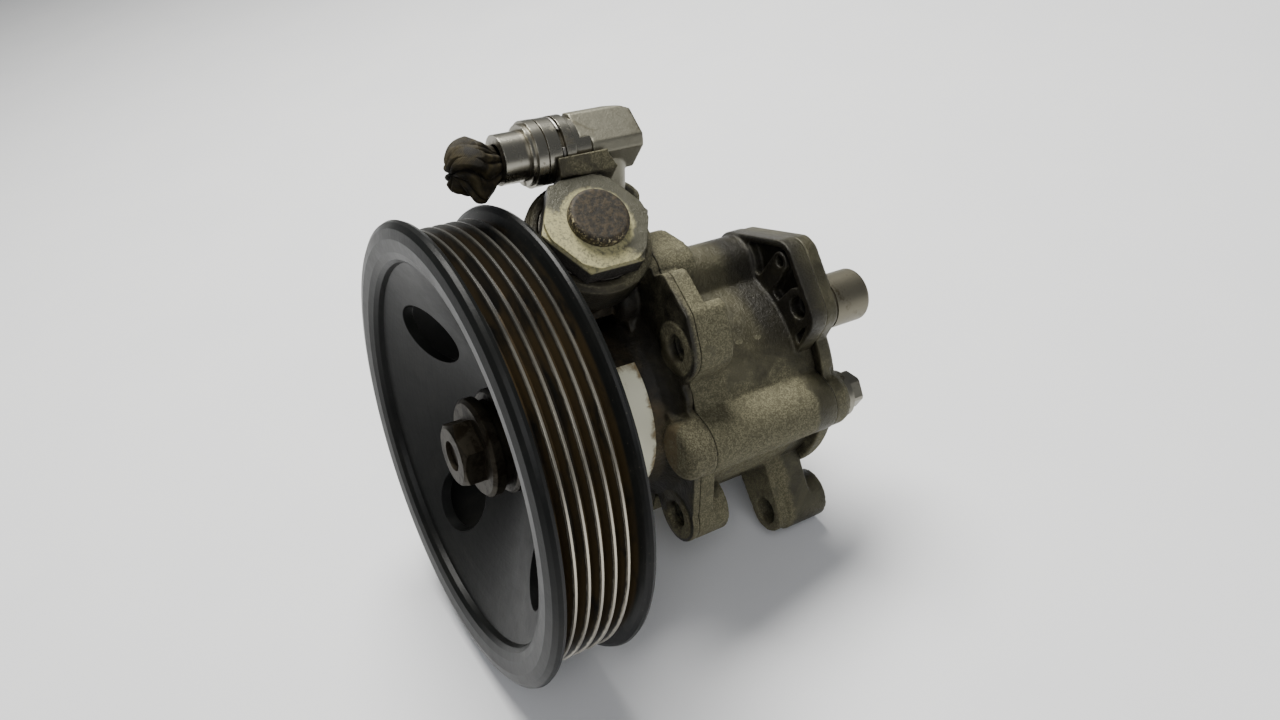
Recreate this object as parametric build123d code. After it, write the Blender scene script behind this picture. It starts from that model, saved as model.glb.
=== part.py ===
"""Hydraulic power-steering vane pump with a six-groove belt pulley.

Millimetres. The shaft lies along Y with the pulley at the -Y end, +Z is up, and the origin is where the
shaft's axis crosses the belt's middle plane.
"""

from build123d import *

import os
from math import cos, radians, sin, sqrt, tan

# ---------------------------------------------------------------- driving dimensions
CLEARANCE = 0.02  # between pieces that are fixed to one another
RUNNING = 0.04  # radial clearance of a running fit

# pulley, a PK section of six grooves
RIB_PITCH = 3.56
RIB_COUNT = 6
CREST_RADIUS = 61.2
CREST_WIDTH = 0.6
ROOT_WIDTH = 0.6
FLANK_ANGLE = 20
FRONT_LIP_RADIUS = 65.05
REAR_FLANGE_RADIUS = 63.9
RIM_INNER_RADIUS = 55.8
WEB_OUTER = (53.6, -11.0)  # radius and Y where the web leaves the front lip
WEB_SLOPE = 0.497  # how much the web sinks for each millimetre towards the hub
WEB_THICKNESS = 3.1
WEB_HOLE_RADIUS = 9.6
WEB_HOLE_PITCH_RADIUS = 37.8
WEB_HOLE_ANGLES = (58, 148, 238, 328)

# shaft line
HUB_RADIUS = 15.1
HUB_FRONT = 0.65
HUB_REAR = 16.4
HUB_BORE = 7.02
BOLT_SHANK_RADIUS = 4.95
BOLT_FLANGE_RADIUS = 14.1
BOLT_ACROSS_FLATS = 17.0
BOLT_FACE = -12.0
BOLT_FLANGE_FRONT = -5.9
WASHER_FRONT = -2.4
JOURNAL_RADIUS = 8.45
BEARING_FRONT, BEARING_REAR = 26.6, 36.6
BALL_RADIUS = 2.38
BALL_CIRCLE_RADIUS = 13.0
BALL_COUNT = 9
SPLINE_RADIUS = 6.5

# housings along the shaft
NOSE_FRONT = 18.4
NOSE_RADIUS = 24.9
NOSE_BORE = 17.5
EAR_FACE = 43.8
FLANGE_FRONT = 44.2
SEAM = 46.6  # front housing meets pump body
EAR_REAR = 57.0
COVER_SEAM = 88.5  # pump body meets rear cover
REAR_FLANGE_FRONT = 83.0
COVER_REAR = 94.0
BODY_RADIUS = 33.0
COVER_RADIUS = 36.0
CAVITY_RADIUS = 25.5
CROWN_TOP = 49.6
CROWN_REAR = 58.0

# four long bolts, and the ears and lug that the pump hangs on
BOLT_CIRCLE_RADIUS = 33.46
BOLT_START_ANGLE = 3.4
BOLT_BOSS_RADIUS = 8.4
BOLT_RADIUS = 3.0
UPPER_EAR = (24.0, 28.4)
LOWER_EAR = (26.2, -26.2)
EAR_RADIUS = 8.7
EAR_FACE_RADIUS = 7.3
UPPER_EAR_CORNER = (26.2, 38.0, 2.8)  # x, z and radius of the ear's square shoulder
EAR_THREAD_RADIUS = 3.8
LUG = (28.5, -37.0)
LUG_RADIUS = 7.6
LUG_HOLE_RADIUS = 4.2
LUG_FRONT, LUG_REAR = 76.0, 94.0

# rotor set
PLATE_FRONT = 46.7
RING_FRONT, RING_REAR = 53.0, 73.0
PLATE_REAR = 80.0
RING_OUTER = 25.35
CAM_MAJOR, CAM_MINOR = 19.6, 17.6
ROTOR_RADIUS = 17.4
VANE_COUNT = 10
VANE_THICKNESS = 1.8
VANE_TIP, VANE_ROOT = 17.5, 9.5
PIN_RADIUS = 1.6
PIN_CIRCLE_RADIUS = 22.6

# flow-control valve, across the shaft and tilted up
VALVE_FACE = (6.3, 31.4, 61.5)
VALVE_ANGLE = 54
PLUG_ACROSS_FLATS = 27.0
PLUG_HEAD = 6.5
PLUG_BOSS_RADIUS = 8.1
PLUG_BOSS_HEIGHT = 3.0
PLUG_THREAD_RADIUS = 12.0
VALVE_BORE = 8.0
VALVE_DEPTH = 60.0

# outlet elbow and its nipple
STEM = (-15.7, 45.4)
STEM_RADIUS = 6.4
NIPPLE_RADIUS = 6.6
NIPPLE_BORE = 4.2
NIPPLE_FRONT = 14.2
NIPPLE_ROOT = 5.4
ELBOW_BLOCK = (18.4, 14.4, 14.0)  # along Y, up the valve's face, and along its axis
ELBOW_PLACE = (13.2, 25.2, -3.0)  # the block's middle, in the valve's frame
BLOCK_FRONT = VALVE_FACE[1] + ELBOW_PLACE[0] - ELBOW_BLOCK[0] / 2

# suction stub
STUB = (24.4, 28.4)
STUB_RADIUS = 7.7
STUB_ROOT_RADIUS = 7.3  # the part pressed into the cover
STUB_BORE = 5.9
STUB_FRONT, STUB_REAR = 93.85, 106.0

VALVE = Plane(
    origin=VALVE_FACE,
    x_dir=(0, 1, 0),
    z_dir=(cos(radians(VALVE_ANGLE)), 0, sin(radians(VALVE_ANGLE))),
)
BOLT_ANGLES = [BOLT_START_ANGLE + 90 * quarter for quarter in range(4)]


# ---------------------------------------------------------------- helpers
def along_y(x, z, radius, start, end):
    """A round bar along Y from start to end."""
    return Pos(x, (start + end) / 2, z) * Rot(90, 0, 0) * Cylinder(radius, end - start)


def in_valve(radius, start, end, across=0, up=0):
    """A round bar along the valve's axis; 0 is the plug's face and positive is outwards."""
    return VALVE.location * Pos(across, up, (start + end) / 2) * Cylinder(radius, end - start)


def turned(*points):
    """A solid turned about the shaft from a closed outline of (radius, Y) points."""
    return revolve(make_face(Polyline(*points, close=True)), axis=Axis.Y)


def ring(outer, inner, start, end):
    """A plain ring about the shaft."""
    return along_y(0, 0, outer, start, end) - along_y(0, 0, inner, start - 1, end + 1)


def plate(outline, start, end):
    """An (X, Z) outline made solid from start to end along the shaft."""
    return extrude(Plane.XZ.offset(-start) * outline, amount=start - end)


def spot(x, z, radius):
    """A disc in an (X, Z) outline."""
    return Pos(x, z) * Circle(radius)


def bridge(*spots):
    """The outline stretched round discs given as (x, z, radius)."""
    discs = [edge for s in spots for edge in spot(*s).edges()]
    return make_hull(discs)


def polar(radius, angle):
    """The (X, Z) place at an angle from +X towards +Z."""
    return radius * cos(radians(angle)), radius * sin(radians(angle))


def on_bolts():
    """The (X, Z) places of the four long bolts."""
    return [polar(BOLT_CIRCLE_RADIUS, angle) for angle in BOLT_ANGLES]


def wire_coil(radius, wire, pitch, height):
    """A coil spring standing on its local XY plane."""
    path = Helix(pitch=pitch, height=height, radius=radius)
    start = Plane(origin=path @ 0, z_dir=path % 0)
    return sweep(start * Circle(wire), path=path)


# ---------------------------------------------------------------- pulley and its fixing
def web_front(radius):
    """The Y of the web's front face at a radius."""
    return WEB_OUTER[1] + (WEB_OUTER[0] - radius) * WEB_SLOPE


def rib_profile():
    """The belt grooves from front to rear as (radius, Y) points."""
    half_crest = CREST_WIDTH / 2
    half_root = ROOT_WIDTH / 2
    depth = (RIB_PITCH / 2 - half_crest - half_root) / tan(radians(FLANK_ANGLE))
    root = CREST_RADIUS - depth
    points = []
    for groove in range(RIB_COUNT):
        middle = (groove - (RIB_COUNT - 1) / 2) * RIB_PITCH
        points += [
            (CREST_RADIUS, middle - RIB_PITCH / 2 + half_crest),
            (root, middle - half_root),
            (root, middle + half_root),
            (CREST_RADIUS, middle + RIB_PITCH / 2 - half_crest),
        ]
    return points


def pulley():
    front_lip = [
        (WEB_OUTER[0], WEB_OUTER[1]),
        (53.9, -12.6),
        (54.9, -13.7),
        (57.0, -14.5),
        (60.5, -14.9),
        (63.2, -14.4),
        (64.6, -13.5),
        (FRONT_LIP_RADIUS, -12.4),
        (64.6, -11.4),
        (63.0, -11.0),
    ]
    rear_flange = [
        (62.6, 10.9),
        (REAR_FLANGE_RADIUS - 0.3, 11.5),
        (REAR_FLANGE_RADIUS, 12.3),
        (REAR_FLANGE_RADIUS - 0.4, 13.2),
        (REAR_FLANGE_RADIUS - 1.3, 13.6),
        (RIM_INNER_RADIUS, 13.6),
        (RIM_INNER_RADIUS, -6.5),
        (RIM_INNER_RADIUS - 2.2, -8.2),
    ]
    web_inner = [
        (50.5, web_front(50.5) + WEB_THICKNESS),
        (HUB_RADIUS + CLEARANCE, web_front(HUB_RADIUS) + WEB_THICKNESS),
        (HUB_RADIUS + CLEARANCE, web_front(HUB_RADIUS) - 0.4),
        (HUB_RADIUS + 2.0, web_front(HUB_RADIUS + 2.0)),
        (51.6, web_front(51.6)),
    ]
    outline = front_lip + rib_profile() + rear_flange + web_inner
    wheel = turned(*reversed(outline))
    for angle in WEB_HOLE_ANGLES:
        x, z = polar(WEB_HOLE_PITCH_RADIUS, angle)
        wheel -= along_y(x, z, WEB_HOLE_RADIUS, -20, 20)
    return wheel


def pulley_hub():
    """A forged hub whose rear collar backs the web."""
    collar = 20.0
    return turned(
        (HUB_BORE, HUB_FRONT),
        (HUB_RADIUS - 0.8, HUB_FRONT),
        (HUB_RADIUS, HUB_FRONT + 0.8),
        (HUB_RADIUS, web_front(HUB_RADIUS) + WEB_THICKNESS + CLEARANCE),
        (collar, web_front(collar) + WEB_THICKNESS + CLEARANCE),
        (collar, 12.6),
        (12.0, HUB_REAR),
        (HUB_BORE, HUB_REAR),
    )


def pulley_bolt():
    """A flanged hexagon bolt with a round dimple in its head."""
    head = hexagon_bar(BOLT_ACROSS_FLATS, BOLT_FACE, BOLT_FLANGE_FRONT + 1)
    crown = turned((0, BOLT_FACE), (7.9, BOLT_FACE), (10.2, BOLT_FACE + 1.6), (10.2, -4), (0, -4))
    flange = turned(
        (0, BOLT_FLANGE_FRONT),
        (BOLT_FLANGE_RADIUS - 1.0, BOLT_FLANGE_FRONT),
        (BOLT_FLANGE_RADIUS, BOLT_FLANGE_FRONT + 0.9),
        (BOLT_FLANGE_RADIUS, WASHER_FRONT - CLEARANCE),
        (0, WASHER_FRONT - CLEARANCE),
    )
    shank = along_y(0, 0, BOLT_SHANK_RADIUS, WASHER_FRONT - 1, 24)
    dimple = along_y(0, 0, 4.3, BOLT_FACE - 1, BOLT_FACE + 1.4)
    return (head & crown) + flange + shank - dimple


def hexagon_bar(across_flats, start, end):
    """A hexagon bar along the shaft with a flat facing +X."""
    outline = Rot(0, 0, 30) * RegularPolygon(across_flats / sqrt(3), 6)
    return plate(outline, start, end)


def bolt_washer():
    return ring(12.4, BOLT_SHANK_RADIUS + 0.35, WASHER_FRONT, HUB_FRONT - CLEARANCE)


# ---------------------------------------------------------------- shaft and front bearing
def drive_shaft():
    shaft = turned(
        (0, 3.2),
        (HUB_BORE - CLEARANCE - 0.6, 3.2),
        (HUB_BORE - CLEARANCE, 3.8),
        (HUB_BORE - CLEARANCE, HUB_REAR + CLEARANCE),
        (JOURNAL_RADIUS, HUB_REAR + CLEARANCE),
        (JOURNAL_RADIUS, BEARING_REAR + CLEARANCE),
        (10.2, BEARING_REAR + CLEARANCE),
        (10.2, 39.0),
        (7.4, 39.0),
        (7.4, RING_FRONT - 0.5),
        (SPLINE_RADIUS - CLEARANCE, RING_FRONT - 0.5),
        (SPLINE_RADIUS - CLEARANCE, RING_REAR - CLEARANCE),
        (6.0, RING_REAR - CLEARANCE),
        (6.0, 81.2),
        (5.4, 81.8),
        (0, 81.8),
    )
    return shaft - along_y(0, 0, BOLT_SHANK_RADIUS + CLEARANCE, 3, 26)


def race_groove():
    """The ring-shaped track that the balls roll in."""
    middle = (BEARING_FRONT + BEARING_REAR) / 2
    return Pos(0, middle, 0) * Rot(90, 0, 0) * Torus(BALL_CIRCLE_RADIUS, BALL_RADIUS + RUNNING)


def bearing_inner_race():
    return ring(11.5, JOURNAL_RADIUS + CLEARANCE, BEARING_FRONT, BEARING_REAR) - race_groove()


def bearing_outer_race():
    return ring(NOSE_BORE - CLEARANCE, 14.5, BEARING_FRONT, BEARING_REAR) - race_groove()


def ball_places():
    middle = (BEARING_FRONT + BEARING_REAR) / 2
    spots = [polar(BALL_CIRCLE_RADIUS, 360 / BALL_COUNT * n) for n in range(BALL_COUNT)]
    return [Pos(x, middle, z) for x, z in spots]


def bearing_balls():
    return Compound([place * Sphere(BALL_RADIUS) for place in ball_places()])


def bearing_cage():
    """A band with a round pocket for each ball."""
    cage = ring(13.7, 12.3, BEARING_FRONT + 1.6, BEARING_REAR - 1.6)
    middle = (BEARING_FRONT + BEARING_REAR) / 2
    for n in range(BALL_COUNT):
        pocket = Pos(BALL_CIRCLE_RADIUS, 0, 0) * Rot(0, 90, 0) * Cylinder(BALL_RADIUS + RUNNING, 4)
        cage -= Pos(0, middle, 0) * Rot(0, -360 / BALL_COUNT * n, 0) * pocket
    return cage


def bearing_snap_ring():
    band = ring(18.2, 15.4, 25.3, 26.4)
    return band - Pos(0, 26, 18) * Box(7, 4, 8)


def shaft_seal():
    """A lip seal: an outer band, a front wall and a lip that runs on the shaft."""
    return turned(
        (NOSE_BORE - CLEARANCE, 19.2),
        (NOSE_BORE - CLEARANCE, 25.0),
        (NOSE_BORE - 1.6, 25.0),
        (NOSE_BORE - 1.6, 21.0),
        (11.2, 21.0),
        (9.4, 24.2),
        (JOURNAL_RADIUS + RUNNING, 23.2),
        (10.0, 19.2),
    )


# ---------------------------------------------------------------- casting outlines
def upper_ear_outline():
    return bridge((14, 14, 8), (*UPPER_EAR, EAR_RADIUS), UPPER_EAR_CORNER)


def lower_ear_outline():
    return bridge((16, -16, 5), (*LOWER_EAR, EAR_RADIUS))


def front_outline():
    """The outline that the front housing's flange and the pump body share at their seam."""
    outline = Circle(30.5) + upper_ear_outline() + lower_ear_outline()
    for x, z in on_bolts():
        outline += bridge((0, 0, 19), (x, z, BOLT_BOSS_RADIUS))
    outline += bridge((2, 24, 12), (17.2, 44.6, 2.6), UPPER_EAR_CORNER)
    outline += spot(23.5, 13, 6.3)
    outline += bridge((29.5, -4, 5), (28.4, -20, 6))
    return outline + crown_outline()


def crown_outline():
    """The rise under the valve barrel, where the valve's return passage enters the body."""
    return bridge((-1, 39, 10.4), (7, 43.2, 6))


def body_outline():
    outline = Circle(BODY_RADIUS)
    for x, z in on_bolts():
        outline += bridge((0, 0, 19), (x, z, BOLT_BOSS_RADIUS))
    return outline


def lobe_outline(inset=0.0):
    """The upper corner where the suction passage runs."""
    return bridge((-4, 34.6, 7.4 - inset), (17.4, 41.4, 6.2 - inset), (27.3, 28.8, 6.2 - inset), (20, 14, 6))


# ---------------------------------------------------------------- front housing
def valve_housing():
    """The tilted barrel of the valve, its plug seat, the port boss and the pad under the elbow."""
    barrel = in_valve(13.4, -65, -12)
    barrel = chamfer(barrel.edges().group_by(Axis.Z)[0], 2.0)
    seat = in_valve(17.3, -16.5, -PLUG_HEAD - 1.0) + in_valve(16.2, -8, -PLUG_HEAD)
    port = Pos(*STEM, 50.8) * Cylinder(10.4, 17.6)
    port = chamfer(port.edges().group_by(Axis.Z)[-1], 1.6)
    shoulder = Pos(-8.5, 34.5, 44) * Cylinder(10.5, 28)
    before_seam = Pos(0, SEAM / 2, 50) * Box(90, SEAM - 0.2, 60)
    saddle = VALVE.location * Pos(5.5, 3.5, -19) * Box(22, 19, 14)
    return barrel + seat + elbow_pad() + port + shoulder + (saddle & before_seam)


def elbow_pad():
    """A stop beside the plug that the elbow's block rests on."""
    section = Polyline((13.9, -10.8), (17.9, -10.8), (17.9, 3.9), (13.9, 0.6), close=True)
    across = Plane(origin=VALVE.origin, x_dir=VALVE.y_dir, z_dir=VALVE.x_dir)
    bar = extrude(across.offset(-4.2) * make_face(section), amount=19)
    slope = VALVE.location * Pos(18.7, 13.9, 0) * Rot(0, 0, 38) * Box(9, 16, 40)
    return bar - slope - nipple_bar(9.1, 20, 39.5)


def front_housing():
    nose = turned(
        (0, NOSE_FRONT),
        (NOSE_RADIUS - 1.2, NOSE_FRONT),
        (NOSE_RADIUS, NOSE_FRONT + 1.2),
        (NOSE_RADIUS, 38.2),
        (25.8, 40.8),
        (28.2, 42.9),
        (30.5, FLANGE_FRONT),
        (30.5, SEAM),
        (0, SEAM),
    )
    casting = nose + plate(front_outline(), FLANGE_FRONT, SEAM)
    for x, z in on_bolts():
        boss = along_y(x, z, BOLT_BOSS_RADIUS - 0.2, 38.6, SEAM)
        boss = fillet(boss.edges().group_by(Axis.Y)[0], 2.8)
        casting += boss + plate(bridge((0, 0, 15), (x, z, 5)), 41, SEAM)
    for x, z in (UPPER_EAR, LOWER_EAR):
        casting += along_y(x, z, EAR_FACE_RADIUS, EAR_FACE, SEAM)
    casting += valve_housing() - Pos(0, SEAM + 20, CROWN_TOP - 35) * Box(120, 40, 70)
    return casting - front_housing_holes()


def front_housing_holes():
    holes = along_y(0, 0, NOSE_BORE, NOSE_FRONT - 1, BEARING_REAR)
    holes += ring(18.4, NOSE_BORE - 1, 25.2, 26.5)
    holes += along_y(0, 0, 11.2, BEARING_REAR - 1, SEAM + 1)
    for x, z in on_bolts():
        holes += along_y(x, z, BOLT_RADIUS + CLEARANCE, 40.2, SEAM + 1)
    for x, z in (UPPER_EAR, LOWER_EAR):
        holes += along_y(x, z, EAR_THREAD_RADIUS, EAR_FACE - 1, SEAM + 1)
        holes += countersink(x, z, EAR_FACE, EAR_THREAD_RADIUS + 0.8)
    holes += in_valve(PLUG_THREAD_RADIUS + CLEARANCE, -18, 0)
    holes += in_valve(14.0, -8.1, 0)
    holes += in_valve(VALVE_BORE, -VALVE_DEPTH, -17)
    holes += Pos(*STEM, 60) * Cylinder(STEM_RADIUS + CLEARANCE, 26)
    holes += Pos(-10.2, 40.2, 48.6) * Rot(0, 90, 46) * Cylinder(2.6, 15)
    return holes


def countersink(x, z, face, radius):
    """A 45 degree countersink into a face that looks along -Y."""
    return Pos(x, face + radius / 2 - 0.01, z) * Rot(90, 0, 0) * Cone(0.01, radius, radius)


def front_pressure_plate():
    return pressure_plate(PLATE_FRONT, RING_FRONT - CLEARANCE, 7.4 + RUNNING * 3)


def label():
    """A blank paper label on the nose."""
    band = ring(NOSE_RADIUS + 0.16, NOSE_RADIUS + 0.02, 21.5, 37.7)
    keep = plate(make_face(Polyline(*label_sector(), close=True)), 20, 39)
    return band & keep


def label_sector():
    """A fan-shaped (X, Z) outline that covers the labelled side of the nose."""
    return [(0, 0)] + [polar(40, angle) for angle in range(-75, 68, 11)]


# ---------------------------------------------------------------- pump body
def pump_body():
    casting = plate(body_outline(), SEAM, COVER_SEAM)
    casting += plate(front_outline(), SEAM + CLEARANCE, 51.5)
    casting += plate(upper_ear_outline() + lower_ear_outline(), SEAM + CLEARANCE, EAR_REAR)
    casting += plate(crown_outline(), SEAM + CLEARANCE, CROWN_REAR)
    casting += plate(lobe_outline() + body_outline(), REAR_FLANGE_FRONT, COVER_SEAM)
    casting += rear_lug()
    return casting - pump_body_holes()


def rear_lug():
    root = bridge((17, -21, 9), (*LUG, LUG_RADIUS))
    front = plate(bridge((17, -21, 8.4), (*LUG, LUG_RADIUS - 0.7)), LUG_FRONT, 80)
    return front + plate(root, 80, COVER_SEAM) + along_y(*LUG, LUG_RADIUS, 85, LUG_REAR)


def pump_body_holes():
    holes = along_y(0, 0, CAVITY_RADIUS, SEAM - 1, COVER_SEAM + 1)
    holes += ring(28.4, 26.4, SEAM - 1, SEAM + 1.6)
    for x, z in on_bolts():
        holes += along_y(x, z, BOLT_RADIUS + 0.3, SEAM - 1, COVER_SEAM + 1)
    for x, z in (UPPER_EAR, LOWER_EAR):
        holes += along_y(x, z, EAR_THREAD_RADIUS, SEAM - 1, EAR_REAR + 1)
    holes += along_y(*LUG, LUG_HOLE_RADIUS, LUG_FRONT - 1, LUG_REAR + 1)
    return holes + corner_recess()


def corner_recess():
    """The shallow recess in the front of the upper corner, round a boss and a small hole."""
    recess = lobe_outline(2.0) - Circle(BODY_RADIUS + 1.8)
    for x, z in on_bolts():
        recess -= spot(x, z, BOLT_BOSS_RADIUS + 1.0)
    recess -= bridge((26.7, 31, 5.6), (21, 24, 5.6))
    recess -= bridge((17.5, 41.4, 2.9), (12, 32, 3.4))
    start = REAR_FLANGE_FRONT - 1
    drillings = along_y(26.7, 31, 3.3, start, 87) + along_y(17.5, 41.4, 1.5, start, 86)
    return plate(recess, start, 86) + drillings


# ---------------------------------------------------------------- rotor set
def pressure_plate(start, end, bore):
    """A port plate with four curved ports and two dowel holes."""
    disc = ring(RING_OUTER, bore, start, end)
    for angle in (0, 90, 180, 270):
        port = bridge((*polar(14.2, angle + 34), 1.5), (*polar(14.2, angle + 56), 1.5))
        disc -= plate(port, start - 1, end + 1)
    return disc - dowel_pins(CLEARANCE)


def cam_ring():
    outline = Circle(RING_OUTER) - Ellipse(CAM_MAJOR, CAM_MINOR)
    return plate(outline, RING_FRONT, RING_REAR) - dowel_pins(CLEARANCE)


def rotor():
    """The slotted rotor; each slot ends in a round pocket that feeds the vane's root."""
    disc = ring(ROTOR_RADIUS, SPLINE_RADIUS, RING_FRONT + RUNNING, RING_REAR - RUNNING)
    for angle in vane_angles():
        x, z = polar(14.4, angle)
        slot = Pos(x, 63, z) * Rot(0, -angle, 0) * Box(10.2, 30, VANE_THICKNESS + 2 * RUNNING)
        disc -= slot + along_y(*polar(9.5, angle), 1.3, 50, 76)
    return disc


def vane_angles():
    return [360 / VANE_COUNT * n for n in range(VANE_COUNT)]


def vane(angle):
    length = VANE_TIP - VANE_ROOT
    x, z = polar((VANE_TIP + VANE_ROOT) / 2, angle)
    width = RING_REAR - RING_FRONT - 4 * RUNNING
    return Pos(x, (RING_FRONT + RING_REAR) / 2, z) * Rot(0, -angle, 0) * Box(length, width, VANE_THICKNESS)


def rear_pressure_plate():
    return pressure_plate(RING_REAR + CLEARANCE, PLATE_REAR, 6.0 + RUNNING)


def dowel_pins(extra=0.0):
    """Two dowels that line the plates up with the cam ring; extra makes their holes."""
    places = [polar(PIN_CIRCLE_RADIUS, angle) for angle in (80, 260)]
    pins = [along_y(x, z, PIN_RADIUS + extra, 48.5 - extra, 79 + extra) for x, z in places]
    return pins[0] + pins[1]


def plate_spring():
    """A dished spring that holds the rear pressure plate against the cam ring."""
    return turned((14.0, 80.1), (15.0, 80.1), (22.6, 81.5), (22.6, 82.2), (21.8, 82.2), (14.0, 80.8))


def body_seal_ring():
    return seal_about_shaft(27.4, 0.78, SEAM + 0.8)


def cover_seal_ring():
    return seal_about_shaft(24.5, 0.9, 85.4)


def seal_about_shaft(radius, section, y):
    return Pos(0, y, 0) * Rot(90, 0, 0) * Torus(radius, section)


# ---------------------------------------------------------------- rear cover and suction side
def rear_cover():
    outline = Circle(COVER_RADIUS) + lobe_outline(0.3)
    for x, z in on_bolts():
        outline += bridge((0, 0, 19), (x, z, BOLT_BOSS_RADIUS - 0.2))
    edge = 92.6
    casting = plate(outline, COVER_SEAM + CLEARANCE, edge)
    inner = Circle(COVER_RADIUS - 1.2) + lobe_outline(1.5)
    casting += plate(inner, edge, COVER_REAR - 0.2)
    for x, z in on_bolts():
        casting += along_y(x, z, BOLT_BOSS_RADIUS - 0.6, edge, COVER_REAR)
    casting += turned((0, 93), (23, 93), (21, 97.2), (0, 98.2))
    casting += turned((0, 82.4), (CAVITY_RADIUS - 0.05, 82.4), (CAVITY_RADIUS - 0.05, 89), (0, 89))
    return casting - rear_cover_holes()


def rear_cover_holes():
    holes = ring(CAVITY_RADIUS + 0.4, 23.55, 84.4, 86.4)
    holes += along_y(0, 0, 20.5, 80, 86)
    for x, z in on_bolts():
        holes += along_y(x, z, BOLT_RADIUS + 0.3, COVER_SEAM - 1, COVER_REAR + 6)
    holes += along_y(*STUB, STUB_ROOT_RADIUS + CLEARANCE, 91.5, COVER_REAR + 9)
    holes += along_y(*STUB, STUB_BORE, 90.2, COVER_REAR)
    holes += along_y(34.4, 11.5, 1.4, 91.5, COVER_REAR + 1)
    return holes


def suction_stub():
    tube = along_y(*STUB, STUB_RADIUS, STUB_FRONT, STUB_REAR)
    tube = fillet(tube.edges().group_by(Axis.Y)[-1], 1.4)
    tube += along_y(*STUB, STUB_ROOT_RADIUS, 91.6, STUB_FRONT + 1)
    return tube - along_y(*STUB, STUB_BORE, 90, STUB_REAR + 1)


def cover_bolts():
    """Four long flanged hexagon bolts as one group."""
    bolts = []
    for x, z in on_bolts():
        shank = along_y(x, z, BOLT_RADIUS, 41, COVER_REAR + 1)
        flange = along_y(x, z, 7.0, COVER_REAR + CLEARANCE, COVER_REAR + 2.2)
        outline = Pos(x, z) * RegularPolygon(10 / sqrt(3), 6)
        head = plate(outline, COVER_REAR + 2, COVER_REAR + 6.8)
        rounding = along_y(x, z, 5.5, COVER_REAR + 1, COVER_REAR + 7)
        dimple = along_y(x, z, 3, COVER_REAR + 5.8, COVER_REAR + 8)
        bolts.append(shank + flange + (head & rounding) - dimple)
    return Compound(bolts)


# ---------------------------------------------------------------- flow-control valve
def valve_plug():
    """A hexagon plug with a raised round boss on its face."""
    outline = VALVE.offset(-PLUG_HEAD) * RegularPolygon(PLUG_ACROSS_FLATS / sqrt(3), 6)
    head = extrude(outline, amount=PLUG_HEAD)
    head &= in_valve(15.5, -PLUG_HEAD - 0.5, -1.1) + in_valve(14.3, -1.3, 0)
    shank = in_valve(PLUG_THREAD_RADIUS - CLEARANCE, -17.4, -PLUG_HEAD + 1)
    boss = in_valve(PLUG_BOSS_RADIUS, -1, PLUG_BOSS_HEIGHT)
    boss = fillet(boss.edges().group_by(Axis((0, 0, 0), VALVE.z_dir))[-1], 1.3)
    return head + boss + shank + in_valve(4.0, -21, -17)


def plug_seal_ring():
    outer = in_valve(13.9, -8.05, -PLUG_HEAD - CLEARANCE)
    return outer - in_valve(PLUG_THREAD_RADIUS + CLEARANCE, -10, -5)


def control_spool():
    """A two-land spool, hollow behind for its spring and bored in front for the relief valve."""
    body = in_valve(VALVE_BORE - RUNNING, -29, -21.05) + in_valve(5.6, -39, -28)
    body += in_valve(VALVE_BORE - RUNNING, -47, -37)
    spring_pocket = in_valve(6.2, -48, -42)
    relief_bore = in_valve(2.9, -36.5, -20)
    return body - spring_pocket - relief_bore - in_valve(1.2, -43, -36)


def relief_seat():
    """A screwed seat that the relief ball shuts."""
    return in_valve(2.9 - CLEARANCE, -25, -21.2) - in_valve(1.3, -26, -20)


def relief_ball():
    return VALVE.location * Pos(0, 0, -26.95) * Sphere(2.2)


def relief_spring():
    return VALVE.location * Pos(0, 0, -36.1) * wire_coil(2.1, 0.35, 1.7, 6.3)


def spool_spring():
    return VALVE.location * Pos(0, 0, -59.2) * wire_coil(5.1, 0.75, 3.2, 16.2)


# ---------------------------------------------------------------- outlet
def outlet_elbow():
    """A machined block on a stem, notched where the nipple's root enters it."""
    block = Box(*ELBOW_BLOCK)
    block = chamfer(block.edges().filter_by(Axis.X), 2.2)
    length, height, depth = ELBOW_BLOCK
    corner = Pos(length / 2, height / 2, 0) * Rot(0, 0, -31) * Box(16, 6.2, depth + 6)
    block = VALVE.location * Pos(*ELBOW_PLACE) * (block - corner) - elbow_notch()
    stem = Pos(*STEM, 60.5) * Cylinder(STEM_RADIUS, 21)
    stem -= Pos(*STEM, 53.2) * (Cylinder(STEM_RADIUS + 1, 2.2) - Cylinder(STEM_RADIUS - 1.3, 3))
    socket = nipple_bar(NIPPLE_ROOT + CLEARANCE, 30, 41)
    bore = Pos(*STEM, 60) * Cylinder(NIPPLE_BORE, 27) + nipple_bar(NIPPLE_BORE, 35, STEM[1])
    return block + stem - socket - bore


def elbow_notch(gap=0.0):
    """The notch at the lower front corner of the elbow's block; gap draws its walls in."""
    x, y, z = ELBOW_PLACE
    reach = 3.0 - gap
    top = y - ELBOW_BLOCK[1] / 2 + 4.3 - gap
    return VALVE.location * Pos(x - ELBOW_BLOCK[0] / 2, top - 6, z) * Box(2 * reach, 12, 20)


def nipple_axis():
    """The (X, Z) place of the nipple's axis, level with the middle of the elbow's block."""
    middle = VALVE.location * Pos(0, 25, ELBOW_PLACE[2])
    return middle.position.X, middle.position.Z


def nipple_bar(radius, start, end):
    return along_y(*nipple_axis(), radius, start, end)


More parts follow.
